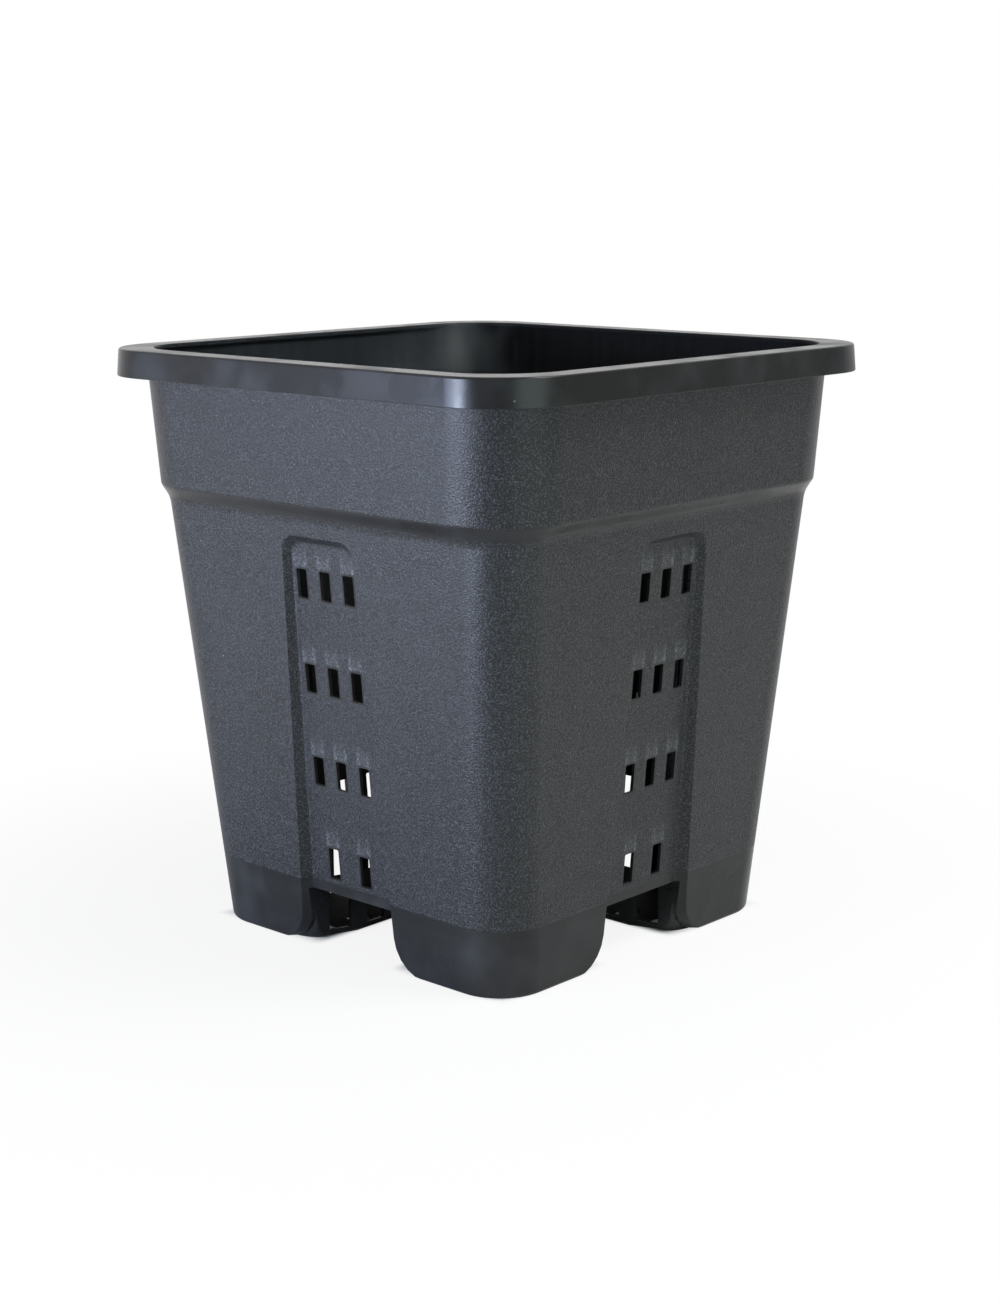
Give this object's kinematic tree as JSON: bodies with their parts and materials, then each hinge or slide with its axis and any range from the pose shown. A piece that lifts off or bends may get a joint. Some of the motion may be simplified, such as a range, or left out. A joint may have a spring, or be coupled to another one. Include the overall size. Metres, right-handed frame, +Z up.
{
  "type": "air pruning pot",
  "caption": "Square tapered nursery pot with a lipped rim, stepped collar, slotted vent channel in each side, raised cross floor and hollow corner feet that drain and air-prune roots.",
  "frame": {"origin": "on the ground under the middle of the pot", "axes": "+Z up out of the mouth; the two sides in the picture face -Y (left in the picture) and +X (right)"},
  "size_m": [0.2878, 0.2878, 0.3],
  "materials": {
    "grained_plastic": "charcoal black moulded plastic with a fine leather grain",
    "satin_plastic": "charcoal black moulded plastic, smooth and satin"
  },
  "bodies": {
    "root": {"rim_flange": "satin_plastic", "rim_lip": "satin_plastic", "collar": "grained_plastic", "shoulder": "grained_plastic", "raised_floor": "grained_plastic", "vent_channel_front": "grained_plastic", "vent_channel_right": "grained_plastic", "vent_channel_back": "grained_plastic", "vent_channel_left": "grained_plastic", "corner_wall_front_right": "grained_plastic", "corner_wall_back_right": "grained_plastic", "corner_wall_back_left": "grained_plastic", "corner_wall_front_left": "grained_plastic", "foot_front_right": "satin_plastic", "foot_back_right": "satin_plastic", "foot_back_left": "satin_plastic", "foot_front_left": "satin_plastic"}
  },
  "joints": []
}
